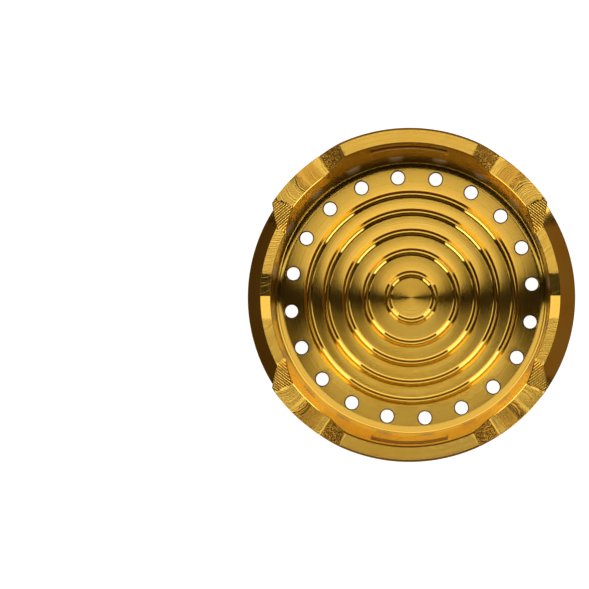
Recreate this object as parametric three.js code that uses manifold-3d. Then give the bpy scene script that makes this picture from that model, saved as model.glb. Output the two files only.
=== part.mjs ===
// Charcoal holder for a water-pipe bowl: a turned metal cup whose notched crown stands over a
// perforated heat plate. Three pieces: the crown body, the heat plate, and the base ring that
// screws on from below and clamps the plate against the body's shoulder.
//
// Millimetres, +Z up. The origin is the centre of the face that the cup rests on. The two tall
// tabs of the crown stand on +Y and -Y, and its two low lands lie on +X and -X.

import * as THREE from 'three';
import { mergeVertices } from 'three/addons/utils/BufferGeometryUtils.js';
import Module from 'manifold-3d';

const wasm = await Module();
wasm.setup();

// Driving dimensions
const GAP = 0.3;               // clearance between neighbouring pieces
const FLANGE_R = 40;           // both flanges, the widest part
const RING_H = 1.7;            // base ring thickness
const RING_LIP_R = 32.2;       // inner radius of the lip under the plate
const RING_LIP_H = 0.6;        // lip thickness
const RING_EDGE = 0.2;         // edge break on the base ring
const GROOVE_R = 36.2;         // floor of the groove between the flanges
const FLANGE_BOTTOM = 5.2;     // upper flange, underside
const FLANGE_TOP = 6.6;        // upper flange, where the flare starts
const WAIST_R = 36.2;          // straight waist band
const WAIST_BOTTOM = 9.0;
const WAIST_TOP = 18.2;
const CROWN_R = 39.7;          // outside of the crown wall
const CROWN_BOTTOM = 22.5;     // top of the undercut cone
const TALL_Z = 28.4;           // top of the tall tabs
const MID_Z = 23.9;            // middle lands
const LOW_Z = 18.1;            // low lands
const RIM_OUTER_CHAMFER = 0.5;
const RIM_INNER_CHAMFER = 0.3;
const MOUTH_R = 35.9;          // bore at the rim
const BORE_BREAK_R = 33.65;    // bore where its taper changes, level with the low lands
const BORE_R = 33.2;           // bore at the plate
const SEAT_R = 34.8;           // counterbore that takes the plate's rim
const TALL_HALF_ANGLE = 25;    // crown levels, in degrees from the +Y and -Y directions
const MID_START_ANGLE = 32.5;
const MID_END_ANGLE = 53.75;
const LOW_START_ANGLE = 62.5;
const SLOT_BOTTOM = 23.5;      // the side slots are cut by a disc cutter from outside
const SLOT_TOP = 26.5;
const SLOT_CUTTER_R = 29.9;
const SLOT_CUTTER_Y = 62.4;    // cutter centre to the cup's axis
const NICK_HALF_WIDTH = 5.4;   // shallow V across the middle of each low land
const NICK_DEPTH = 0.7;
const PLATE_UNDER_Z = RING_LIP_H + GAP;
const PLATE_FLOOR_Z = 2.1;
const PLATE_R = SEAT_R - GAP;
const PLATE_FILLET_R = 2.6;    // concave sweep from the floor up to the plate's rim
const PLATE_FILLET_START = 31.3;
const RIB_RADII = [5.85, 11.33, 16.2, 21.1, 25.5];
const RIB_FOOT = 0.85;         // half width of a rib at its foot
const RIB_CREST = 0.2;         // half width at its crest
const RIB_HEIGHT = 0.38;
const HOLE_COUNT = 20;
const HOLE_R = 1.6;
const HOLE_CIRCLE_R = 29.7;
const HOLE_PHASE = 6.36;       // degrees from +X to the first hole

// Fineness of the facets
const BODY_SEGMENTS = 144;
const PLATE_SEGMENTS = 72;
const CUTTER_SEGMENTS = 288;   // puts a corner on each crown angle
const HOLE_SEGMENTS = 16;
const FILLET_STEPS = 3;

const rad = THREE.MathUtils.degToRad;

// A closed three.js geometry as a manifold-3d solid
function toSolid(geometry) {
  const bare = geometry.clone();
  bare.deleteAttribute('normal');
  bare.deleteAttribute('uv');
  const merged = mergeVertices(bare, 1e-5);
  const corners = merged.index.array;
  const triangles = [];
  for (let i = 0; i < corners.length; i += 3) {
    const [a, b, c] = corners.subarray(i, i + 3);
    if (a !== b && b !== c && c !== a) {
      triangles.push(a, b, c);
    }
  }
  const vertProperties = new Float32Array(merged.attributes.position.array);
  const triVerts = new Uint32Array(triangles);
  return new wasm.Manifold(new wasm.Mesh({ numProp: 3, vertProperties, triVerts }));
}

// A manifold-3d solid as a three.js geometry
function toGeometry(solid) {
  const { vertProperties, triVerts } = solid.getMesh();
  const geometry = new THREE.BufferGeometry();
  geometry.setAttribute('position', new THREE.BufferAttribute(vertProperties, 3));
  geometry.setIndex(new THREE.BufferAttribute(triVerts, 1));
  geometry.computeVertexNormals();
  return geometry;
}

// Turns an outline of [radius, height] points about the Z axis
function turned(outline, segments) {
  const points = outline.map(([r, z]) => new THREE.Vector2(r, z));
  return new THREE.LatheGeometry(points, segments).rotateX(Math.PI / 2);
}

function ringOutline(...points) {
  return [...points, points[0]];
}

// Height of the crown at an angle, in degrees, from the nearer tall tab's middle
function crownHeight(angle) {
  const ramp = (start, end, from, to) => from + (to - from) * ((angle - start) / (end - start));
  if (angle < TALL_HALF_ANGLE) {
    return TALL_Z + GAP;
  }
  if (angle < MID_START_ANGLE) {
    return ramp(TALL_HALF_ANGLE, MID_START_ANGLE, TALL_Z, MID_Z);
  }
  if (angle < MID_END_ANGLE) {
    return MID_Z;
  }
  if (angle < LOW_START_ANGLE) {
    return ramp(MID_END_ANGLE, LOW_START_ANGLE, MID_Z, LOW_Z);
  }
  return LOW_Z;
}

// The ring of metal milled away above the crown: its underside follows the crown's levels
function crownCutter() {
  const inner = BORE_BREAK_R - 5;
  const outer = FLANGE_R + 5;
  const top = TALL_Z + 5;
  const bottom = TALL_Z + 1;
  const outline = ringOutline([inner, bottom], [outer, bottom], [outer, top], [inner, top]);
  const geometry = turned(outline, CUTTER_SEGMENTS);
  const position = geometry.attributes.position;
  const tolerance = 1e-3;
  for (let i = 0; i < position.count; i++) {
    if (position.getZ(i) < top - tolerance) {
      const x = Math.abs(position.getX(i));
      const y = Math.abs(position.getY(i));
      const angle = THREE.MathUtils.radToDeg(Math.atan2(x, y));
      position.setZ(i, crownHeight(angle + tolerance));
    }
  }
  return toSolid(geometry);
}

function slotCutter(side) {
  const height = SLOT_TOP - SLOT_BOTTOM;
  const disc = new THREE.CylinderGeometry(SLOT_CUTTER_R, SLOT_CUTTER_R, height, BODY_SEGMENTS);
  disc.rotateX(Math.PI / 2);
  disc.translate(0, side * SLOT_CUTTER_Y, SLOT_BOTTOM + height / 2);
  return toSolid(disc);
}

// A shallow V along X, sunk into the middle of a low land
function nickCutter(side) {
  const section = new THREE.Shape();
  section.moveTo(-NICK_HALF_WIDTH, LOW_Z);
  section.lineTo(0, LOW_Z - NICK_DEPTH);
  section.lineTo(NICK_HALF_WIDTH, LOW_Z);
  section.lineTo(NICK_HALF_WIDTH, LOW_Z + 1);
  section.lineTo(-NICK_HALF_WIDTH, LOW_Z + 1);
  const length = FLANGE_R - BORE_R;
  const prism = new THREE.ExtrudeGeometry(section, { depth: length, bevelEnabled: false });
  prism.rotateX(Math.PI / 2);
  prism.rotateZ(Math.PI / 2);
  prism.translate(side > 0 ? BORE_R - 1 : -FLANGE_R + 1, 0, 0);
  return toSolid(prism);
}

function crownBody() {
  const threadR = GROOVE_R - GAP;
  const shoulderZ = plateRimZ() + GAP;
  const outline = ringOutline(
    [BORE_R, shoulderZ],
    [SEAT_R, shoulderZ],
    [SEAT_R, PLATE_UNDER_Z],
    [threadR, PLATE_UNDER_Z],
    [threadR, RING_H + GAP],
    [GROOVE_R, RING_H + GAP],
    [GROOVE_R, FLANGE_BOTTOM],
    [FLANGE_R, FLANGE_BOTTOM],
    [FLANGE_R, FLANGE_TOP],
    [WAIST_R, WAIST_BOTTOM],
    [WAIST_R, WAIST_TOP],
    [CROWN_R, CROWN_BOTTOM],
    [CROWN_R, TALL_Z - RIM_OUTER_CHAMFER],
    [CROWN_R - RIM_OUTER_CHAMFER, TALL_Z],
    [MOUTH_R + RIM_INNER_CHAMFER, TALL_Z],
    [MOUTH_R, TALL_Z - RIM_INNER_CHAMFER],
    [BORE_BREAK_R, LOW_Z],
  );
  let body = toSolid(turned(outline, BODY_SEGMENTS)).subtract(crownCutter());
  for (const side of [-1, 1]) {
    body = body.subtract(slotCutter(side)).subtract(nickCutter(side));
  }
  return body;
}

// The top of the plate's rim, where the concave sweep reaches the bore
function plateRimZ() {
  const angle = Math.asin((BORE_R - PLATE_FILLET_START) / PLATE_FILLET_R);
  return PLATE_FLOOR_Z + PLATE_FILLET_R * (1 - Math.cos(angle));
}

function heatPlate() {
  const rimZ = plateRimZ();
  const sweep = Math.asin((BORE_R - PLATE_FILLET_START) / PLATE_FILLET_R);
  const outline = [[0, PLATE_UNDER_Z], [PLATE_R, PLATE_UNDER_Z], [PLATE_R, rimZ]];
  for (let step = FILLET_STEPS; step >= 0; step--) {
    const angle = (sweep * step) / FILLET_STEPS;
    const r = PLATE_FILLET_START + PLATE_FILLET_R * Math.sin(angle);
    outline.push([r, PLATE_FLOOR_Z + PLATE_FILLET_R * (1 - Math.cos(angle))]);
  }
  for (const r of [...RIB_RADII].reverse()) {
    const crestZ = PLATE_FLOOR_Z + RIB_HEIGHT;
    outline.push([r + RIB_FOOT, PLATE_FLOOR_Z], [r + RIB_CREST, crestZ]);
    outline.push([r - RIB_CREST, crestZ], [r - RIB_FOOT, PLATE_FLOOR_Z]);
  }
  outline.push([0, PLATE_FLOOR_Z]);
  let plate = toSolid(turned(outline, PLATE_SEGMENTS));
  for (let i = 0; i < HOLE_COUNT; i++) {
    const angle = rad(HOLE_PHASE + (360 / HOLE_COUNT) * i);
    const drill = new THREE.CylinderGeometry(HOLE_R, HOLE_R, TALL_Z, HOLE_SEGMENTS);
    drill.rotateX(Math.PI / 2);
    drill.translate(HOLE_CIRCLE_R * Math.cos(angle), HOLE_CIRCLE_R * Math.sin(angle), 0);
    plate = plate.subtract(toSolid(drill));
  }
  return plate;
}

function baseRing() {
  const outline = ringOutline(
    [RING_LIP_R, 0],
    [FLANGE_R - RING_EDGE, 0],
    [FLANGE_R, RING_EDGE],
    [FLANGE_R, RING_H - RING_EDGE],
    [FLANGE_R - RING_EDGE, RING_H],
    [GROOVE_R, RING_H],
    [GROOVE_R, RING_LIP_H],
    [RING_LIP_R, RING_LIP_H],
  );
  return toSolid(turned(outline, BODY_SEGMENTS));
}

function gold(color, roughness) {
  return new THREE.MeshStandardMaterial({ color, roughness, metalness: 1 });
}

function piece(name, solid, material) {
  const mesh = new THREE.Mesh(toGeometry(solid), material);
  mesh.name = name;
  return mesh;
}

const charcoalHolder = new THREE.Group();
charcoalHolder.add(
  piece('crown_body', crownBody(), gold('#d9a23c', 0.22)),
  piece('heat_plate', heatPlate(), gold('#e2b25c', 0.3)),
  piece('base_ring', baseRing(), gold('#d9a23c', 0.22)),
);

export default charcoalHolder;
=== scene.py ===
"""Gold charcoal holder: a notched crown, a ribbed and drilled heat plate and a base ring."""

import math

import bmesh
import bpy
from mathutils import Matrix, Vector


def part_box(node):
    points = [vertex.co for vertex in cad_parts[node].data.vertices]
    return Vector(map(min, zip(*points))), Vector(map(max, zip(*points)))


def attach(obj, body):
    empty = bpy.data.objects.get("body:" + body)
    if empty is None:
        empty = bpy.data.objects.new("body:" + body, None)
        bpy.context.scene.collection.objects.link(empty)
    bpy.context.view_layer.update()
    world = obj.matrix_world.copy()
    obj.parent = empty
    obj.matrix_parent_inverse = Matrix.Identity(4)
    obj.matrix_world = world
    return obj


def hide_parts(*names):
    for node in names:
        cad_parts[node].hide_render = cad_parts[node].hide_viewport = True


bl_info = {
    "name": "Charcoal holder",
    "version": (1, 0, 0),
    "blender": (4, 5, 0),
    "location": "3D View > Sidebar > Holder",
    "description": "Builds a turned and milled gold charcoal holder and its studio",
    "category": "Object",
}

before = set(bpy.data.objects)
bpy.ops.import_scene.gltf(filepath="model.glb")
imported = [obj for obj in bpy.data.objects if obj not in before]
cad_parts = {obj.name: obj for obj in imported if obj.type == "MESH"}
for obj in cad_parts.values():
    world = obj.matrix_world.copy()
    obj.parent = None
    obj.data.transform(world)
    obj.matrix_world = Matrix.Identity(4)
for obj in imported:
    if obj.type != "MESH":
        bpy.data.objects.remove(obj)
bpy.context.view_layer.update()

MM = 0.001
CROWN_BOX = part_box("crown_body")
PLATE_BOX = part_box("heat_plate")
RING_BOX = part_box("base_ring")
SHARP_ANGLE = math.radians(27)
ON_AXIS = 1e-9


# ---------------------------------------------------------------- sizes a user may change


def length(name, text, default):
    """A size property in metres."""
    return bpy.props.FloatProperty(
        name=name,
        description=text,
        default=default,
        min=0.0,
        subtype="DISTANCE",
        unit="LENGTH",
    )


def colour(name, text, default):
    """A linear RGB colour property."""
    return bpy.props.FloatVectorProperty(
        name=name,
        description=text,
        default=default,
        size=3,
        min=0.0,
        max=1.0,
        subtype="COLOR",
    )


class CrownSettings(bpy.types.PropertyGroup):
    """Sizes of the cup wall and its crown."""

    tall_height: length("Tall tabs", "Height of the two tall tabs", CROWN_BOX[1].z)
    middle_height: length("Middle lands", "Height of the four middle lands", 23.9 * MM)
    low_height: length("Low lands", "Height of the two low lands", 18.1 * MM)
    flange_radius: length("Flange radius", "Outer radius of the upper flange", CROWN_BOX[1].x)
    crown_radius: length("Crown radius", "Outer radius above the undercut cone", 39.7 * MM)
    waist_radius: length("Waist radius", "Radius of the plain band and the groove", 36.2 * MM)
    bore_radius: length("Bore radius", "Radius of the cup just above the plate", 33.2 * MM)
    mouth_radius: length("Mouth radius", "Inner radius at the top of the tall tabs", 35.9 * MM)
    nick_depth: length("Nick depth", "Depth of the shallow V across each low land", 0.7 * MM)
    edge_break: length("Edge break", "Width of the small chamfer on milled edges", 0.11 * MM)
    scallop: length("Scallop", "Height of the cutter marks on the long ramps", 0.04 * MM)
    gold: colour("Gold", "Colour of the milled gold faces", (0.93, 0.55, 0.085))
    wall_gold: colour("Bore gold", "Colour of the polished gold bore", (0.93, 0.62, 0.09))
    outer_gold: colour("Outer gold", "Colour of the polished outer walls", (0.93, 0.5, 0.07))


class PlateSettings(bpy.types.PropertyGroup):
    """Sizes of the ribbed floor."""

    floor_height: length("Floor height", "Height of the floor's flat face", 2.1 * MM)
    rib_height: length("Rib height", "Height of each rib above the floor", 0.38 * MM)
    rib_foot: length("Rib foot", "Half width of a rib at its foot", 0.85 * MM)
    rib_crest: length("Rib crest", "Half width of a rib's flat crest", 0.2 * MM)
    hole_radius: length("Hole radius", "Radius of the drilled holes", 1.6 * MM)
    hole_circle: length("Hole circle", "Radius of the circle of holes", 29.7 * MM)
    hole_count: bpy.props.IntProperty(
        name="Holes", description="Number of drilled holes", default=20, min=3
    )
    gold: colour("Gold", "Colour of the turned gold floor", (0.94, 0.56, 0.085))


class RingSettings(bpy.types.PropertyGroup):
    """Sizes of the lower flange."""

    radius: length("Radius", "Outer radius of the base ring", RING_BOX[1].x)
    height: length("Height", "Thickness of the base ring", RING_BOX[1].z)
    lip_radius: length("Lip radius", "Inner radius of the thin lip under the plate", 32.2 * MM)
    gold: colour("Gold", "Colour of the polished gold", (0.93, 0.5, 0.07))


class StudioSettings(bpy.types.PropertyGroup):
    """Camera, floor and light."""

    lens: bpy.props.FloatProperty(
        name="Lens",
        description="Focal length",
        default=188.65,
        min=20.0,
        subtype="DISTANCE_CAMERA",
    )
    camera_height: length("Camera height", "Height of the camera", 760.7 * MM)
    floor_tone: bpy.props.FloatProperty(
        name="Floor tone", description="Grey of the pale floor", default=0.45, min=0.0, max=1.0
    )


# ---------------------------------------------------------------- finishes

# Lengths and radii in the finishes are in millimetres, like the coordinates they use.
QUARTER_TURN = 0.25  # turns the spread of the shine across the tool's lines
WALL_LAY, FLAT_LAY = 0.9, 1.0
POLISH = 0.11  # roughness of the polished walls
BORE_DULLNESS = 0.03  # and how much rougher the bore is
BAND_EDGE = 0.02
BORE_TO_OUTSIDE = (35.9, 36.0)
LINE_SLANT = 1.31
CENTRE_DISC = (4.0, 12.0)
CENTRE_DULLNESS = 0.03
# Painted shade on the plate starts over this span of radius and ends at the ledge.
OUTER_SHADE_START = (25.8, 29.0)
PLATE_LEDGE = (32.94, 32.96)
DULL_BANDS = ((9.0, 18.2, 0.2), (22.5, 28.0, 0.17))  # the plain band and the crown
MILL_CENTRE, MILL_RADIUS = 36.6, 4.2
# Painted shade: a dark colour for the side slots' cut faces, standing in for the shade deep in the
# slots.
SLOT_SHADE_TONE = (0.45, 0.2, 0.03)
# Painted shade: a near-black colour for the holes' walls and countersinks, standing in for the
# shade inside the holes.
HOLE_SHADE_TONE = (0.2, 0.07, 0.01)


class Wire:
    """One node socket; Python's operators work on those that carry a number."""

    def __init__(self, paint, socket):
        self.paint = paint
        self.socket = socket

    def _with(self, operation, other, flipped=False):
        pair = (other, self) if flipped else (self, other)
        return self.paint.math(operation, *pair)

    def __add__(self, other):
        return self._with("ADD", other)

    def __radd__(self, other):
        return self._with("ADD", other, True)

    def __sub__(self, other):
        return self._with("SUBTRACT", other)

    def __rsub__(self, other):
        return self._with("SUBTRACT", other, True)

    def __mul__(self, other):
        return self._with("MULTIPLY", other)

    def __rmul__(self, other):
        return self._with("MULTIPLY", other, True)

    def __truediv__(self, other):
        return self._with("DIVIDE", other)

    def __rtruediv__(self, other):
        return self._with("DIVIDE", other, True)

    def __pow__(self, other):
        return self._with("POWER", other)


class Paint:
    """A material's node tree, built through one method for all kinds of node."""

    def __init__(self, name):
        self.material = bpy.data.materials.new(name)
        self.material.use_nodes = True
        self.tree = self.material.node_tree
        self.tree.nodes.clear()

    def node(self, kind, settings=None, inputs=None):
        """A node of one type: its settings first, then the values or links of its sockets."""
        made = self.tree.nodes.new(kind)
        for key, value in (settings or {}).items():
            setattr(made, key, value)
        for key, value in (inputs or {}).items():
            self.feed(made.inputs[key], value)
        return made

    def feed(self, socket, value):
        """Link a wire to a socket, or set the socket's own value."""
        if isinstance(value, Wire):
            self.tree.links.new(value.socket, socket)
        else:
            socket.default_value = value

    def math(self, operation, *values):
        """A number worked out from numbers."""
        made = self.node("ShaderNodeMath", {"operation": operation}, dict(enumerate(values)))
        return Wire(self, made.outputs[0])

    def place(self):
        """Object coordinates in millimetres, as three number wires."""
        coordinates = self.node("ShaderNodeTexCoord")
        split = self.node(
            "ShaderNodeSeparateXYZ", inputs={0: Wire(self, coordinates.outputs["Object"])}
        )
        return [Wire(self, split.outputs[i]) / MM for i in range(3)]

    def joined(self, x, y, z):
        """A vector from three numbers."""
        made = self.node("ShaderNodeCombineXYZ", inputs={0: x, 1: y, 2: z})
        return Wire(self, made.outputs[0])

    def noise(self, where, scale, detail, roughness=0.5):
        """Cloudy noise from 0 to 1, with scale cells to the millimetre."""
        made = self.node(
            "ShaderNodeTexNoise",
            {"noise_dimensions": "3D"},
            {"Vector": where, "Scale": scale, "Detail": detail, "Roughness": roughness},
        )
        return Wire(self, made.outputs[0])

    def line_noise(self, where, detail):
        """Noise along one number only, which draws lines."""
        made = self.node(
            "ShaderNodeTexNoise",
            {"noise_dimensions": "1D"},
            {"W": where, "Scale": 1.0, "Detail": detail},
        )
        return Wire(self, made.outputs[0])

    def span(self, value, low, high):
        """A smooth step from 0 to 1 as value goes from low to high."""
        made = self.node(
            "ShaderNodeMapRange",
            {"interpolation_type": "SMOOTHSTEP"},
            {0: value, 1: low, 2: high},
        )
        return Wire(self, made.outputs[0])

    def blend(self, amount, first, second):
        """A colour between two colours."""
        made = self.node("ShaderNodeMix", {"data_type": "RGBA"}, {0: amount})
        for index, tone in ((6, first), (7, second)):
            self.feed(made.inputs[index], tone if isinstance(tone, Wire) else (*tone, 1.0))
        return Wire(self, made.outputs[2])

    def ridged(self, height, depth):
        """The face normal over ridges of a given depth in metres."""
        made = self.node("ShaderNodeBump", inputs={"Distance": depth, "Height": height})
        return Wire(self, made.outputs[0])

    def output(self, shader):
        """Put a shader node on the material's output."""
        self.node("ShaderNodeOutputMaterial", inputs={"Surface": Wire(self, shader.outputs[0])})
        return self.material

    def metal(self, tone, roughness, normal=None, lay=0.0):
        """A metal; lay is how far its shine spreads across the tool's lines."""
        inputs = {
            "Base Color": tone,
            "Metallic": 1.0,
            "Roughness": roughness,
            "Anisotropic": lay,
            "Anisotropic Rotation": QUARTER_TURN,
        }
        if normal is not None:
            inputs["Normal"] = normal
        return self.output(self.node("ShaderNodeBsdfPrincipled", inputs=inputs))


def shaded(tone, red, green, blue):
    """A colour with each channel multiplied, and none over 1."""
    return tuple(min(channel * by, 1.0) for channel, by in zip(tone, (red, green, blue)))


def dimmed(tone, share):
    """A colour with all channels multiplied by one number."""
    return tuple(channel * share for channel in tone)


def axis_distance(x, y):
    """Distance from the turning axis; never quite zero."""
    return (x * x + y * y + 1e-6) ** 0.5


def tarnished(paint, tone, depth=0.18):
    """The gold's colour with a slow, faint drift in its warmth."""
    drift = paint.noise(paint.joined(*paint.place()), 0.07, 3.0)
    warm = shaded(tone, 0.97, 0.9, 0.7)
    pale = shaded(tone, 1.02, 1.06, 1.3)
    return paint.blend(paint.span(drift, 0.5 - depth, 0.5 + depth), warm, pale)


def turning_lines(paint, radius, z, per_mm):
    """Fine lines that run round the axis, on flat, sloped and upright faces alike."""
    return paint.line_noise((radius + z * LINE_SLANT) * per_mm, 2.0)


def polished_gold(name, tone, inner_tone, bands=()):
    """Turned and polished gold; each band is (lowest z, highest z, roughness)."""
    paint = Paint(name)
    x, y, z = paint.place()
    radius = axis_distance(x, y)
    rough = POLISH + (1.0 - paint.span(radius, 34.4, 36.0)) * BORE_DULLNESS
    for low, high, band_rough in bands:
        above_low = paint.span(z, low - BAND_EDGE, low + BAND_EDGE)
        above_high = paint.span(z, high - BAND_EDGE, high + BAND_EDGE)
        inside = above_low * (1.0 - above_high) * paint.span(radius, 34.8, 35.2)
        rough = rough + inside * (band_rough - POLISH)
    lines = turning_lines(paint, radius, z, 3.1)
    normal = paint.ridged(lines, 0.00001)
    outside = paint.span(radius, *BORE_TO_OUTSIDE)
    shade = paint.blend(outside, tarnished(paint, inner_tone), tarnished(paint, tone))
    return paint.metal(shade, rough + lines * 0.06, normal, WALL_LAY)


def turned_gold(name, tone, ridge, rough, outer_shade=1.0):
    """Flat faces with fine lines round the axis; from the holes out to the ledge the colour is
    multiplied by the last argument, painted shade standing in for a darker reflection there.
    """
    paint = Paint(name)
    x, y, z = paint.place()
    radius = axis_distance(x, y)
    lines = turning_lines(paint, radius, z, 2.3)
    normal = paint.ridged(lines, ridge)
    shade = tarnished(paint, tone, 0.25)
    dull = paint.blend(paint.span(lines, 0.3, 0.75), shade, dimmed(tone, 0.93))
    # Painted shade: from the holes out to the plate's ledge the colour is darkened, standing in
    # for the darker reflection of that zone.
    edge = paint.span(radius, *OUTER_SHADE_START) * (1.0 - paint.span(radius, *PLATE_LEDGE))
    dull = paint.blend(edge, dull, dimmed(tone, outer_shade))
    rough = rough + (1.0 - paint.span(radius, *CENTRE_DISC)) * CENTRE_DULLNESS
    return paint.metal(dull, rough + lines * 0.04, normal, FLAT_LAY)


def swirled_gold(name, tone):
    """Lands cut by the end of a small mill, with arcs and torn marks left by its teeth."""
    paint = Paint(name)
    x, y, z = paint.place()
    angle = paint.math("ARCTAN2", y, x)
    side = (axis_distance(x, y) - MILL_CENTRE) / MILL_RADIUS
    lean = paint.math("MAXIMUM", 1.0 - side * side, 0.04) ** 0.5
    along = angle * MILL_CENTRE - lean * MILL_RADIUS
    feed = paint.line_noise(along * 3.0, 1.0)
    # Degrees from the nearer end of the X axis.
    turn = paint.math("ABSOLUTE", paint.math("ABSOLUTE", angle) / math.radians(1.0) - 90.0)

    def torn_at(middle, sharp, soft):
        return 1.0 - paint.span(paint.math("ABSOLUTE", turn - middle), sharp, soft)

    torn = torn_at(43.7, 0.4, 3.0) + torn_at(21.0, 1.0, 4.0)
    wander = paint.noise(paint.joined(x, y, z), 0.8, 1.0)
    scuff = torn * paint.line_noise(along * 2.5 + wander * 1.5, 2.0)
    normal = paint.ridged(feed * 0.15 + scuff, 0.00015)
    # Painted shade: where the mill's second pass cut a middle land the colour is darkened,
    # standing in for the darker reflection of that lower, tilted face.
    second_pass_shade = paint.span(turn, 43.5, 42.5) * (1.0 - paint.span(turn, 37.0, 35.0)) * 0.6
    dark = paint.math("MAXIMUM", paint.span(scuff, 0.36, 0.56) * 0.95, second_pass_shade)
    shade = paint.blend(dark, tone, shaded(tone, 0.6, 0.45, 0.3))
    return paint.metal(shade, 0.13 + feed * 0.08, normal)


def plain_gold(name, tone, rough, dark):
    """Cut faces whose tool marks are in the mesh itself, mottled down to dark times the tone."""
    paint = Paint(name)
    grain = paint.noise(paint.joined(*paint.place()), 2.1, 1.0)
    shade = paint.blend(paint.span(grain, 0.4, 0.6), tone, dimmed(tone, dark))
    return paint.metal(shade, rough + grain * 0.08)


def rough_gold(name, tone):
    """Steep ramps with a fine mottled cutter finish."""
    paint = Paint(name)
    mottle = paint.noise(paint.joined(*paint.place()), 3.0, 2.0, 0.6)
    normal = paint.ridged(mottle, 0.00016)
    dark = shaded(tone, 0.25, 0.18, 0.1)
    shade = paint.blend(paint.span(mottle, 0.34, 0.58), tone, dark)
    return paint.metal(shade, 0.2 + mottle * 0.14, normal)


# ---------------------------------------------------------------- mesh helpers


def finished(name, mesh, materials, node):
    """Put a mesh into the scene as a piece that stands for one CAD node."""
    mesh.set_sharp_from_angle(angle=SHARP_ANGLE)
    for material in materials:
        mesh.materials.append(material)
    piece = bpy.data.objects.new(name, mesh)
    bpy.context.scene.collection.objects.link(piece)
    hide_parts(node)
    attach(piece, "root")


def turned(outline, steps):
    """A closed solid of revolution from an outline of (radius, height) points in metres."""
    shape = bmesh.new()
    angles = [math.tau * i / steps for i in range(steps)]
    on_axis = outline[0][0] < ON_AXIS
    rings = []
    for radius, height in outline:
        if radius < ON_AXIS:
            rings.append([shape.verts.new((0.0, 0.0, height))] * steps)
            continue
        rings.append(
            [shape.verts.new((radius * math.cos(a), radius * math.sin(a), height)) for a in angles]
        )
    for low, high in zip(rings, rings[1:] if on_axis else rings[1:] + rings[:1]):
        for i in range(steps):
            j = (i + 1) % steps
            corners = []
            for vertex in (low[i], low[j], high[j], high[i]):
                if vertex not in corners:
                    corners.append(vertex)
            if len(corners) > 2:
                shape.faces.new(corners)
    bmesh.ops.recalc_face_normals(shape, faces=shape.faces)
    for face in shape.faces:
        face.smooth = True
    return shape


def meshed(shape, name):
    """A mesh made from a bmesh, which is freed."""
    mesh = bpy.data.meshes.new(name)
    shape.to_mesh(mesh)
    shape.free()
    return mesh


def fillet(centre, radius, start, end, steps):
    """Points on an arc round centre, from start to end degrees."""
    return [
        (
            centre[0] + radius * math.cos(math.radians(start + (end - start) * i / steps)),
            centre[1] + radius * math.sin(math.radians(start + (end - start) * i / steps)),
        )
        for i in range(steps + 1)
    ]


def mixed(first, second, share):
    """A number between two numbers."""
    return first + (second - first) * share


# ---------------------------------------------------------------- the crown body

TALL, MIDDLE, LOW = range(3)
WALL, TURNED, SWIRLED, STEEP, RASTER, SLOT = range(6)

# Degrees from the Y axis: one number where the inner and outer edge agree, else both.
SLOT_END = (15.0, 22.5)
STEEP_TOP, STEEP_FOOT = 25.0, 32.5
LONG_TOP = (53.0, 54.5)
LONG_FOOT = (62.6, 62.4)
LONG_SPAN = 8.75
SLOT_LOW, SLOT_HIGH = 23.5 * MM, 26.5 * MM
BREAK_DEG = 0.16
NICK_HALF = 5.4 * MM
SHOULDER = 2.47 * MM
# The mill's second pass over a middle land starts here and ends this much lower.
PASS_DEG = 43.0
PASS_DROP = 0.12 * MM

# The bore widens a little up to the low lands' height, then opens out to the mouth.
BORE_FOOT = 3.0 * MM
BORE_OPENING = 0.45 * MM
MOUTH_DROP = 0.3 * MM
CONE_LOW, CONE_HIGH = 18.2 * MM, 22.5 * MM

# Width of the broken edges at the top of the tall tabs, and how far each side slot's edges are
# set into the wall.
TALL_INNER_BREAK, TALL_OUTER_BREAK = 0.3 * MM, 0.5 * MM
SLOT_INNER_BREAK, SLOT_OUTER_BREAK = 0.06 * MM, -0.1 * MM
ABOVE_ALL = 1.0  # a wall row higher than any land, so it ends at the broken edge

# Cutter marks on the long ramps: the ramp's length, their middle radius and their spacing.
RAMP_RUN = 7.9 * MM
MARK_CENTRE = 35.0 * MM
MARK_PITCH = 0.6 * MM

# The grid of the crown: steps across each land, and rows up the inner and outer walls.
LAND_COLUMNS = 44
INNER_ROWS = [
    SHOULDER + 0.12 * MM, 8.0 * MM, 14.0 * MM, 18.02 * MM, 18.18 * MM, 20.5 * MM,
    SLOT_LOW - 0.07 * MM, SLOT_LOW, SLOT_HIGH, SLOT_HIGH + 0.07 * MM,
]
OUTER_ROWS = [
    12.0 * MM, 15.0 * MM, 18.12 * MM, 18.3 * MM, 20.4 * MM, 22.4 * MM, 22.6 * MM,
    SLOT_LOW - 0.12 * MM, SLOT_LOW, SLOT_HIGH, SLOT_HIGH + 0.12 * MM,
]

# The outside under the plain band, downwards: the radius meant, distance out from it, height.
WAIST, FLANGE = range(2)
FOOT_PROFILE = (
    (WAIST, 0.0, 9.15),
    (WAIST, 0.12, 8.93),
    (FLANGE, -0.2, 6.73),
    (FLANGE, -0.06, 6.62),
    (FLANGE, 0.0, 6.5),
    (FLANGE, 0.0, 5.3),
    (FLANGE, -0.1, 5.2),
    (WAIST, 0.1, 5.2),
    (WAIST, 0.0, 5.1),
    (WAIST, 0.0, 1.76),
    (WAIST, -0.3, 1.76),
    (WAIST, -0.3, 0.95),
)
COUNTERBORE = 34.8 * MM
BODY_BOTTOM = 0.95 * MM


def clamped(value):
    """A number kept between 0 and 1."""
    return max(0.0, min(1.0, value))


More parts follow.
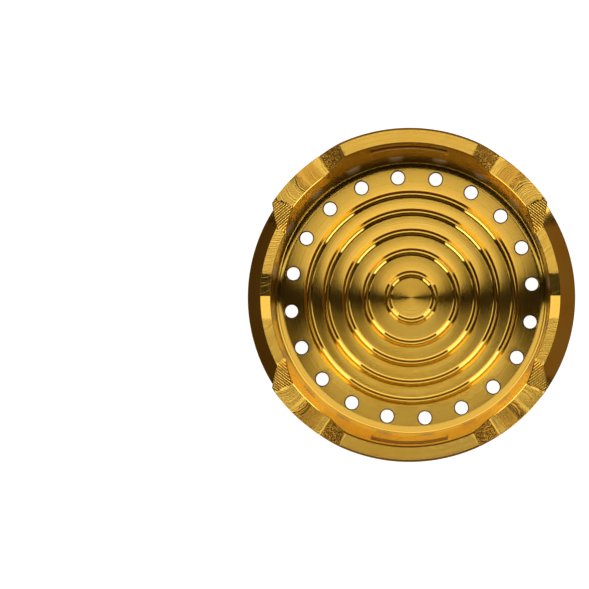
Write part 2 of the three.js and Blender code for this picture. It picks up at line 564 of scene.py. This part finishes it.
def quarter_stations(low_inner, low_outer):
    """The station lines from the middle of a tall tab to the middle of a low land.

    Each is (inner degrees, outer degrees, land, share of the way to the next land, kind of
    surface after it).
    """
    b = BREAK_DEG
    steep_b = b / (STEEP_FOOT - STEEP_TOP)
    long_b = b / LONG_SPAN
    # As the lines, with the number of steps to the next entry before the kind.
    keys = [
        (0.0, 0.0, TALL, 0.0, 14, TURNED),
        (*SLOT_END, TALL, 0.0, 1, TURNED),
        (SLOT_END[0] + 0.25, SLOT_END[1] + 0.2, TALL, 0.0, 10, TURNED),
        (STEEP_TOP - b, STEEP_TOP - b, TALL, 0.0, 1, STEEP),
        (STEEP_TOP + b, STEEP_TOP + b, TALL, steep_b, 30, STEEP),
        (STEEP_FOOT - b, STEEP_FOOT - b, TALL, 1.0 - steep_b, 1, STEEP),
        (STEEP_FOOT + b, STEEP_FOOT + b, MIDDLE, 0.0, 26, SWIRLED),
        (LONG_TOP[0] - b, LONG_TOP[1] - b, MIDDLE, 0.0, 1, RASTER),
        (LONG_TOP[0] + b, LONG_TOP[1] + b, MIDDLE, long_b, 90, RASTER),
        (LONG_FOOT[0] - b, LONG_FOOT[1] - b, MIDDLE, 1.0 - long_b, 1, RASTER),
        (LONG_FOOT[0] + b, LONG_FOOT[1] + b, LOW, 0.0, 16, SWIRLED),
        (90.0 - low_inner - b, 90.0 - low_outer - b, LOW, 0.0, 1, SWIRLED),
        (90.0 - low_inner + b, 90.0 - low_outer + b, LOW, 0.0, 14, SWIRLED),
        (90.0 - b, 90.0 - b, LOW, 0.0, 1, SWIRLED),
    ]
    last = (90.0, 90.0, LOW, 0.0, SWIRLED)
    lines = []
    for key, after in zip(keys, keys[1:] + [last]):
        inner, outer, land, share, steps, kind = key
        share_to = after[3] if after[2] == land else 1.0
        for step in range(steps):
            t = step / steps
            lines.append(
                (mixed(inner, after[0], t), mixed(outer, after[1], t), land,
                 mixed(share, share_to, t), kind)
            )
    return lines + [last]


class CHARCOAL_OT_crown(bpy.types.Operator):
    """Builds the cup wall with its notched crown, side slots, cones and upper flange"""

    bl_idname = "charcoal.crown"
    bl_label = "Crown body"

    def inner_radius(self, height):
        """Radius of the bore at a height."""
        size = self.size
        bend = size.low_height
        bend_radius = size.bore_radius + BORE_OPENING
        if height <= bend:
            share = (height - BORE_FOOT) / (bend - BORE_FOOT)
            return mixed(size.bore_radius, bend_radius, share)
        top = size.tall_height - MOUTH_DROP
        return mixed(bend_radius, size.mouth_radius, (height - bend) / (top - bend))

    def outer_radius(self, height):
        """Radius of the outside at a height: plain band, undercut cone, crown."""
        size = self.size
        if height <= CONE_LOW:
            return size.waist_radius
        if height >= CONE_HIGH:
            return size.crown_radius
        share = (height - CONE_LOW) / (CONE_HIGH - CONE_LOW)
        return mixed(size.waist_radius, size.crown_radius, share)

    def land_height(self, land, share, degrees):
        """Height of the crown's top on a station line."""
        size = self.size
        levels = (size.tall_height, size.middle_height, size.low_height, size.low_height)
        start = levels[land]
        if land == MIDDLE:
            start -= PASS_DROP * clamped((degrees - PASS_DEG) / (LONG_TOP[0] - PASS_DEG))
        return mixed(start, levels[land + 1], share)

    def nick(self, land, y):
        """Depth of the shallow V across a low land."""
        if land != LOW or abs(y) > NICK_HALF:
            return 0.0
        return self.size.nick_depth * (1.0 - abs(y) / NICK_HALF)

    def mark(self, share, radius, share_out):
        """Height of the cutter's dotted rows at a place on a long ramp."""
        down_edges = (share / 0.04, (1.0 - share) / 0.04)
        side_edges = (share_out / 0.06, (1.0 - share_out) / 0.06)
        fade = clamped(min(*down_edges, *side_edges))
        down = share * RAMP_RUN
        side = radius - MARK_CENTRE
        row = math.cos(math.tau * (down + 0.2 * side) / MARK_PITCH)
        dots = math.cos(math.tau * (side - 0.3 * down) / MARK_PITCH)
        return self.size.scallop * fade * (row + 0.8 * dots + 0.3 * row * dots)

    def section(self, line, quarter):
        """The closed loop of points of one station line, from the bore's foot all round."""
        size = self.size
        inner_deg, outer_deg, land, share, kind = line
        if quarter % 2:
            inner_deg, outer_deg = 180.0 - inner_deg, 180.0 - outer_deg
        turn = 180.0 if quarter > 1 else 0.0
        inner_angle = math.radians(inner_deg + turn)
        outer_angle = math.radians(outer_deg + turn)
        top = self.land_height(land, share, line[0])
        tallness = clamped((top - size.middle_height) / (size.tall_height - size.middle_height))
        inner_cut = mixed(size.edge_break, TALL_INNER_BREAK, tallness)
        outer_cut = mixed(size.edge_break, TALL_OUTER_BREAK, tallness)
        in_slot = land == TALL and line[0] <= SLOT_END[0] + 1e-6

        def at(radius, height, share_out):
            angle = mixed(inner_angle, outer_angle, share_out)
            return Vector((radius * math.sin(angle), radius * math.cos(angle), height))

        def wall(radius_at, row, cut, share_out, slot_break):
            """A point of a wall row, which stops at the broken edge under the land."""
            spot = at(radius_at(top), 0.0, share_out)
            roof = top - self.nick(land, spot.y) - cut
            height = min(row, roof)
            radius = radius_at(height)
            if in_slot and row in (SLOT_LOW, SLOT_HIGH) and row < roof:
                radius += slot_break
            return at(radius, height, share_out)

        points = [at(size.bore_radius + 0.12 * MM, SHOULDER, 0.0)]
        for row in INNER_ROWS + [ABOVE_ALL]:
            points.append(wall(self.inner_radius, row, inner_cut, 0.0, SLOT_INNER_BREAK))
        start = self.inner_radius(top) + inner_cut
        end = self.outer_radius(top) - outer_cut
        for column in range(LAND_COLUMNS + 1):
            share_out = column / LAND_COLUMNS
            radius = mixed(start, end, share_out)
            spot = at(radius, 0.0, share_out)
            height = top - self.nick(land, spot.y)
            if kind == RASTER and 0.0 < share < 1.0:
                height += self.mark(share, radius, share_out)
            points.append(Vector((spot.x, spot.y, height)))
        for row in [ABOVE_ALL] + OUTER_ROWS[::-1]:
            points.append(wall(self.outer_radius, row, outer_cut, 1.0, SLOT_OUTER_BREAK))
        for base, out, height in FOOT_PROFILE:
            radius = (size.waist_radius, size.flange_radius)[base] + out * MM
            points.append(at(radius, height * MM, 1.0))
        points.append(at(COUNTERBORE, BODY_BOTTOM, 0.0))
        points.append(at(COUNTERBORE, SHOULDER, 0.0))
        return points, in_slot, kind

    def sections(self):
        """All station lines round the crown, as (points, whether in a slot, kind of surface)."""
        size = self.size
        bend_radius = size.bore_radius + BORE_OPENING
        quarter = quarter_stations(
            math.degrees(math.asin(NICK_HALF / bend_radius)),
            math.degrees(math.asin(NICK_HALF / size.waist_radius)),
        )
        made = []
        for number in range(4):
            backward = number % 2 == 1
            lines = quarter[::-1] if backward else quarter
            for line, after in zip(lines, lines[1:]):
                points, in_slot, kind = self.section(line, number)
                made.append((points, in_slot, after[4] if backward else kind))
        return made

    def execute(self, context):
        self.size = context.scene.charcoal_crown
        sections = self.sections()
        shape = bmesh.new()
        grid = [[shape.verts.new(point) for point in points] for points, _, _ in sections]
        count = len(grid[0])
        first_column = 1 + len(INNER_ROWS) + 1
        inner_low = 1 + INNER_ROWS.index(SLOT_LOW)
        inner_high = 1 + INNER_ROWS.index(SLOT_HIGH)
        outer_end = first_column + LAND_COLUMNS + 2 + len(OUTER_ROWS) - 1
        outer_high = outer_end - OUTER_ROWS.index(SLOT_HIGH)
        outer_low = outer_end - OUTER_ROWS.index(SLOT_LOW)

        def patch(corners, kind):
            face = shape.faces.new(corners)
            face.smooth = True
            face.material_index = kind

        for s, here in enumerate(grid):
            after = grid[(s + 1) % len(grid)]
            _, open_here, kind = sections[s]
            open_after = sections[(s + 1) % len(grid)][1]
            windowed = open_here and open_after
            for k in range(count):
                if windowed and k in (inner_low, outer_high):
                    continue
                m = (k + 1) % count
                on_land = first_column <= k < first_column + LAND_COLUMNS
                patch([here[k], here[m], after[m], after[k]], kind if on_land else WALL)
            if windowed:
                for inner, outer in ((inner_low, outer_low), (outer_high, inner_high)):
                    patch([here[inner], here[outer], after[outer], after[inner]], SLOT)
            if open_here != open_after:
                edge = here if open_here else after
                corners = (inner_low, inner_high, outer_high, outer_low)
                patch([edge[corner] for corner in corners], SLOT)
        bmesh.ops.remove_doubles(shape, verts=shape.verts, dist=2e-6)
        bmesh.ops.dissolve_degenerate(shape, edges=shape.edges, dist=1e-6)
        bmesh.ops.recalc_face_normals(shape, faces=shape.faces)
        tone, bore, outside = (
            tuple(getattr(self.size, name)) for name in ("gold", "wall_gold", "outer_gold")
        )
        finished(
            "crown",
            meshed(shape, "crown_body_mesh"),
            (
                polished_gold("crown_walls", outside, bore, DULL_BANDS),
                turned_gold("tall_tab_tops", tone, 0.00001, 0.15),
                swirled_gold("milled_lands", tone),
                rough_gold("milled_ramps", tone),
                plain_gold("scalloped_ramps", tone, 0.1, 0.7),
                # The slot faces are coloured dark: painted shade.
                plain_gold("shaded_slot_faces", SLOT_SHADE_TONE, 0.2, 0.9),
            ),
            "crown_body",
        )
        return {"FINISHED"}


# ---------------------------------------------------------------- the heat plate

RIB_PLACES = (5.85, 11.33, 16.2, 21.1, 25.5)  # radii in millimetres
RIB_EDGE = 0.06 * MM
CREST_DROP = 0.012 * MM
INNER_FOOT_FILLET, OUTER_FOOT_FILLET = 1.0 * MM, 0.2 * MM
RIM_FILLET_START, RIM_FILLET, RIM_FILLET_WIDTH = 31.3 * MM, 5.0 * MM, 1.65 * MM
LEDGE_END, LEDGE_RISE = 33.25 * MM, 0.04 * MM
PLATE_EDGE = 34.45 * MM
PLATE_STEPS, DRILL_STEPS = 480, 64
HOLE_PHASE = 6.36  # degrees from +X to the first hole
COUNTERSINK = 0.25 * MM
FLAT = 0.99  # a face more level than this is the plate's own, not a hole's
DRILLED_AT_LEAST = 1000


class CHARCOAL_OT_plate(bpy.types.Operator):
    """Builds the floor with its five raised ribs, its upturned rim and its drilled holes"""

    bl_idname = "charcoal.plate"
    bl_label = "Heat plate"

    def rib(self, place):
        """The outline over one rib, from its wide inner fillet to its narrow outer one."""
        size = self.size
        floor, top = size.floor_height, size.floor_height + size.rib_height
        slope = math.degrees(math.atan2(size.rib_height, size.rib_foot - size.rib_crest))
        half = math.tan(math.radians(slope / 2))
        curve = INNER_FOOT_FILLET
        foot = place - size.rib_foot - curve * half
        points = fillet((foot, floor + curve), curve, -90.0, slope - 90.0, 7)
        for crest, side in ((place - size.rib_crest, -1.0), (place + size.rib_crest, 1.0)):
            edge = [
                (crest + side * RIB_EDGE, top - 0.6 * RIB_EDGE),
                (crest, top - CREST_DROP),
                (crest - side * RIB_EDGE, top),
            ]
            points += edge if side < 0.0 else edge[::-1]
        curve = OUTER_FOOT_FILLET
        foot = place + size.rib_foot + curve * half
        return points + fillet((foot, floor + curve), curve, -90.0 - slope, -90.0, 4)

    def outline(self):
        """The plate's outline from the axis over the top to the edge and back below."""
        floor, bottom = self.size.floor_height, PLATE_BOX[0].z
        points = [(0.0, floor)]
        for place in RIB_PLACES:
            points += self.rib(place * MM)
        reach = math.degrees(math.asin(RIM_FILLET_WIDTH / RIM_FILLET))
        centre = (RIM_FILLET_START, floor + RIM_FILLET)
        points += fillet(centre, RIM_FILLET, -90.0, -90.0 + reach, 16)
        ledge = points[-1][1] + LEDGE_RISE
        return points + [
            (LEDGE_END, ledge),
            (PLATE_EDGE, ledge),
            (PLATE_EDGE, bottom),
            (0.0, bottom),
        ]

    def drill(self):
        """The outline of the drill, with a small chamfer below and a countersink above."""
        floor, bottom = self.size.floor_height, PLATE_BOX[0].z
        hole = self.size.hole_radius
        wide = hole + COUNTERSINK
        clear = hole + 0.4 * MM
        return [
            (0.0, 0.0),
            (clear, 0.0),
            (clear, 0.5 * MM),
            (hole + 0.05 * MM, bottom + 0.06 * MM),
            (hole, bottom + 0.12 * MM),
            (hole, floor - 0.24 * MM),
            (hole + 0.03 * MM, floor - 0.19 * MM),
            (wide - 0.03 * MM, floor - 0.03 * MM),
            (wide, floor),
            (wide + 0.04 * MM, floor + 0.01 * MM),
            (wide + 0.04 * MM, floor + 1.0 * MM),
            (0.0, floor + 1.0 * MM),
        ]

    def execute(self, context):
        self.size = context.scene.charcoal_plate
        size = self.size
        pitch = 360.0 / size.hole_count

        def hole_centre(number):
            angle = math.radians(HOLE_PHASE + pitch * number)
            return Vector((math.cos(angle), math.sin(angle), 0.0)) * size.hole_circle

        bit_mesh = meshed(turned(self.drill(), DRILL_STEPS), "bit_mesh")
        drills = bmesh.new()
        for number in range(size.hole_count):
            before = len(drills.verts)
            drills.from_mesh(bit_mesh)
            drills.verts.ensure_lookup_table()
            bmesh.ops.translate(drills, verts=drills.verts[before:], vec=hole_centre(number))
        cutter = bpy.data.objects.new("drill", meshed(drills, "drill_mesh"))
        blank = bpy.data.objects.new(
            "plate_blank", meshed(turned(self.outline(), PLATE_STEPS), "heat_plate_mesh")
        )
        for thing in (cutter, blank):
            context.scene.collection.objects.link(thing)
        cut = blank.modifiers.new("holes", "BOOLEAN")
        cut.object = cutter
        cut.operation = "DIFFERENCE"
        cut.solver = "EXACT"
        context.view_layer.update()
        drilled = bpy.data.meshes.new_from_object(
            blank.evaluated_get(context.evaluated_depsgraph_get())
        )
        for thing in (cutter, blank):
            bpy.data.objects.remove(thing)
        if len(drilled.polygons) < DRILLED_AT_LEAST:
            raise RuntimeError("the holes were not cut into the heat plate")
        drilled.materials.clear()
        for face in drilled.polygons:
            x, y, _ = face.center
            turn = math.degrees(math.atan2(y, x)) - HOLE_PHASE
            near = hole_centre(round(turn / pitch))
            away = math.hypot(x - near.x, y - near.y)
            in_hole = away < size.hole_radius + COUNTERSINK and abs(face.normal.z) < FLAT
            face.material_index = int(in_hole)
        finished(
            "plate",
            drilled,
            (
                # The last number darkens the plate from its holes outwards: painted shade.
                turned_gold("turned_plate", tuple(size.gold), 0.000004, 0.085, 0.76),
                # The holes' walls and countersinks are coloured near black: painted shade.
                plain_gold("shaded_hole_faces", HOLE_SHADE_TONE, 0.3, 0.9),
            ),
            "heat_plate",
        )
        return {"FINISHED"}


# ---------------------------------------------------------------- the base ring

RING_STEPS = 360
RING_BREAK = 0.06 * MM
SOCKET = 35.94 * MM
LIP_TOP = 0.6 * MM


class CHARCOAL_OT_ring(bpy.types.Operator):
    """Builds the lower flange, with the thin lip that holds the plate from below"""

    bl_idname = "charcoal.ring"
    bl_label = "Base ring"

    def execute(self, context):
        size = context.scene.charcoal_ring
        outer, top, lip = size.radius, size.height, size.lip_radius
        small = RING_BREAK
        edge = ((0.22 * MM, 0.0), (0.09 * MM, 0.03 * MM), (0.0, 0.2 * MM))
        outline = [
            (lip, small),
            (lip + small, 0.0),
            *((outer - inward, up) for inward, up in edge),
            *((outer - inward, top - up) for inward, up in reversed(edge)),
            (SOCKET + small, top),
            (SOCKET, top - small),
            (SOCKET, LIP_TOP),
            (lip + small, LIP_TOP),
            (lip, LIP_TOP - small),
        ]
        gold = tuple(size.gold)
        finished(
            "base_flange",
            meshed(turned(outline, RING_STEPS), "base_ring_mesh"),
            (polished_gold("ring_gold", gold, gold),),
            "base_ring",
        )
        return {"FINISHED"}


# ---------------------------------------------------------------- the studio


def aimed(place, target, up):
    """A matrix at place whose -Z axis points at target."""
    back = (Vector(place) - Vector(target)).normalized()
    side = Vector(up).cross(back)
    side.normalize()
    head = back.cross(side)
    turn = Matrix((side, head, back)).transposed().to_4x4()
    return Matrix.Translation(Vector(place)) @ turn


CLEAR, AMBER = (1.0, 1.0, 1.0), (1.0, 0.72, 0.42)

# Each panel of light: name, place, width, height, brightness, up direction, colour. All face
# the origin. The dark gap between the two overhead ones gives the plate its dark sectors, and
# the four corner ones light the ribs' flanks.
ALONG, UPRIGHT = (1.0, 0.0, 0.0), (0.0, 0.0, 1.0)
PANELS = (
    ("overhead", (0.0, 0.55, 1.33), 1.02, 1.6, 1.1, ALONG, CLEAR),
    ("overhead_strip", (0.0, -0.08, 1.5), 0.065, 1.3, 1.7, ALONG, CLEAR),
    ("right_fill", (1.3, 0.0, 0.62), 1.5, 0.7, 0.17, UPRIGHT, AMBER),
    ("left_fill", (-1.3, 0.0, 0.62), 1.5, 0.7, 0.05, UPRIGHT, AMBER),
    ("front_fill", (0.0, -1.3, 0.62), 1.5, 0.7, 0.14, UPRIGHT, AMBER),
    ("back_fill", (0.0, 1.3, 0.62), 1.5, 0.7, 0.14, UPRIGHT, AMBER),
    ("left_front", (-0.8, -0.77, 0.47), 0.4, 0.86, 2.4, UPRIGHT, CLEAR),
    ("right_front", (0.8, -0.77, 0.47), 0.4, 0.86, 2.4, UPRIGHT, CLEAR),
    ("left_back", (-0.8, 0.77, 0.47), 0.4, 0.86, 2.4, UPRIGHT, CLEAR),
    ("right_back", (0.8, 0.77, 0.47), 0.4, 0.86, 2.4, UPRIGHT, CLEAR),
)
AIR_TONE, AIR_GLOW = (1.0, 0.78, 0.55, 1.0), 0.014
WHITE = (1.0, 1.0, 1.0, 1.0)
FLOOR_HALF = 6.0
FLOOR_DROP, DIM_FLOOR_DROP = 0.0004, 0.0006
FLOOR_GLOW = 0.95
DIM_FLOOR_TONE, DIM_FLOOR_GLOW = (1.0, 0.86, 0.7, 1.0), 0.22
CAMERA_X, CAMERA_Y = 0.0169, -0.0216
CAMERA_AIM = (-0.0289, 0.0009, 0.0)


def floor_plane(name, material, drop):
    """A wide plane just under the object."""
    half = FLOOR_HALF
    mesh = bpy.data.meshes.new(name + "_mesh")
    corners = [(-half, -half, 0.0), (half, -half, 0.0), (half, half, 0.0), (-half, half, 0.0)]
    mesh.from_pydata(corners, [], [(0, 1, 2, 3)])
    mesh.materials.append(material)
    plane = bpy.data.objects.new(name, mesh)
    plane.location.z = -drop
    bpy.context.scene.collection.objects.link(plane)
    return plane


class CHARCOAL_OT_studio(bpy.types.Operator):
    """Builds the pale floor, the panels of light and the camera"""

    bl_idname = "charcoal.studio"
    bl_label = "Studio"

    def floors(self, grey):
        """A pale floor, and a dimmer one that only the metal's reflections see."""
        paint = Paint("pale_floor")
        pale = paint.output(
            paint.node(
                "ShaderNodeBsdfPrincipled",
                inputs={
                    "Base Color": (grey, grey, grey, 1.0),
                    "Roughness": 0.7,
                    "Specular IOR Level": 0.1,
                    "Emission Color": WHITE,
                    "Emission Strength": FLOOR_GLOW,
                },
            )
        )
        floor = floor_plane("floor", pale, FLOOR_DROP)
        floor.visible_glossy = False
        paint = Paint("floor_in_the_metal")
        glow = {"Color": DIM_FLOOR_TONE, "Strength": DIM_FLOOR_GLOW}
        dim_paint = paint.output(paint.node("ShaderNodeEmission", inputs=glow))
        dim = floor_plane("dim_floor", dim_paint, DIM_FLOOR_DROP)
        dim.visible_camera = False
        dim.visible_diffuse = False
        dim.visible_shadow = False
        dim.visible_transmission = False

    def lights(self, scene):
        """A faint warm glow of the air, and the panels."""
        world = bpy.data.worlds.new("studio_air")
        scene.world = world
        world.use_nodes = True
        background = world.node_tree.nodes["Background"]
        background.inputs["Color"].default_value = AIR_TONE
        background.inputs["Strength"].default_value = AIR_GLOW
        for name, place, width, height, brightness, up, tone in PANELS:
            lamp = bpy.data.lights.new(name, "AREA")
            lamp.shape = "RECTANGLE"
            lamp.size, lamp.size_y = width, height
            lamp.energy = brightness * math.pi * width * height
            lamp.color = tone
            panel = bpy.data.objects.new(name, lamp)
            panel.matrix_world = aimed(place, (0.0, 0.0, 0.0), up)
            scene.collection.objects.link(panel)

    def execute(self, context):
        size = context.scene.charcoal_studio
        scene = context.scene
        self.floors(size.floor_tone)
        self.lights(scene)
        lens = bpy.data.cameras.new("camera")
        lens.lens = size.lens
        lens.sensor_width = 36.0
        lens.clip_start, lens.clip_end = 0.01, 50.0
        camera = bpy.data.objects.new("camera", lens)
        place = (CAMERA_X, CAMERA_Y, size.camera_height)
        camera.matrix_world = aimed(place, CAMERA_AIM, (0.0, 1.0, 0.0))
        scene.collection.objects.link(camera)
        scene.camera = camera
        scene.view_settings.view_transform = "Standard"
        scene.view_settings.look = "None"
        return {"FINISHED"}


class CHARCOAL_PT_panel(bpy.types.Panel):
    """Lists the pieces and the studio"""

    bl_label = "Charcoal holder"
    bl_idname = "CHARCOAL_PT_panel"
    bl_space_type = "VIEW_3D"
    bl_region_type = "UI"
    bl_category = "Holder"

    def draw(self, context):
        for maker, group in MAKERS:
            box = self.layout.box()
            box.operator(maker.bl_idname)
            settings = getattr(context.scene, group)
            for name in settings.__annotations__:
                box.prop(settings, name)


MAKERS = (
    (CHARCOAL_OT_crown, "charcoal_crown"),
    (CHARCOAL_OT_plate, "charcoal_plate"),
    (CHARCOAL_OT_ring, "charcoal_ring"),
    (CHARCOAL_OT_studio, "charcoal_studio"),
)
GROUPS = {
    "charcoal_crown": CrownSettings,
    "charcoal_plate": PlateSettings,
    "charcoal_ring": RingSettings,
    "charcoal_studio": StudioSettings,
}


def register():
    for name, group in GROUPS.items():
        bpy.utils.register_class(group)
        setattr(bpy.types.Scene, name, bpy.props.PointerProperty(type=group))
    for maker, _ in MAKERS:
        bpy.utils.register_class(maker)
    bpy.utils.register_class(CHARCOAL_PT_panel)


def unregister():
    bpy.utils.unregister_class(CHARCOAL_PT_panel)
    for maker, _ in reversed(MAKERS):
        bpy.utils.unregister_class(maker)
    for name, group in GROUPS.items():
        delattr(bpy.types.Scene, name)
        bpy.utils.unregister_class(group)


def main():
    """Build everything in order."""
    register()
    bpy.ops.charcoal.crown()
    bpy.ops.charcoal.plate()
    bpy.ops.charcoal.ring()
    bpy.ops.charcoal.studio()


if __name__ == "__main__":
    main()
